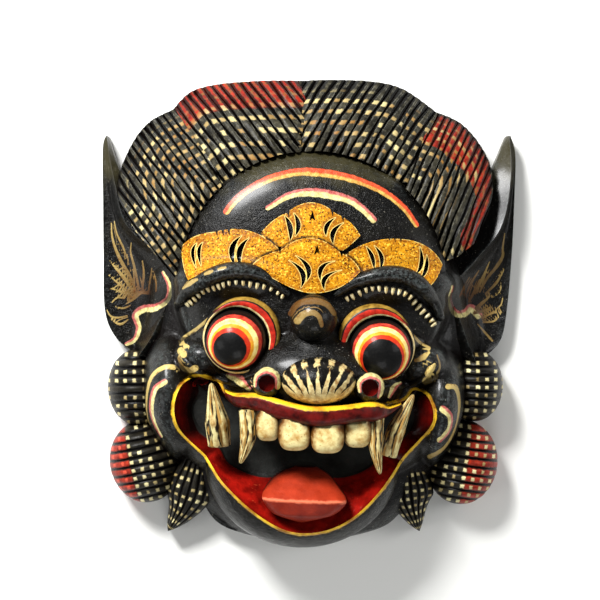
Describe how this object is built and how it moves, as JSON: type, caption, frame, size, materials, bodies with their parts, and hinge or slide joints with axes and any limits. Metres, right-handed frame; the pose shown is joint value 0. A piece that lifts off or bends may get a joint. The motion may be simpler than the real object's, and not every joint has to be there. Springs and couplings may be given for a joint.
{
  "type": "barong mask",
  "caption": "Carved and painted wooden wall mask of a fanged mythical creature, with fluted hair, pointed ears, a leaf crown and a hollow back.",
  "frame": {"origin": "middle of the outline, in the plane of the flat back rim", "axes": "+Z out of the face, +Y from the chin to the hair, +X to the viewer's right; the mask lies on its back rim, face up"},
  "size_m": [0.2418, 0.27, 0.0954],
  "materials": {
    "painted_wood": "hand-painted in black, gold, red and cream, satin, worn at the edges"
  },
  "bodies": {
    "root": {"mask": "painted_wood"}
  },
  "joints": []
}
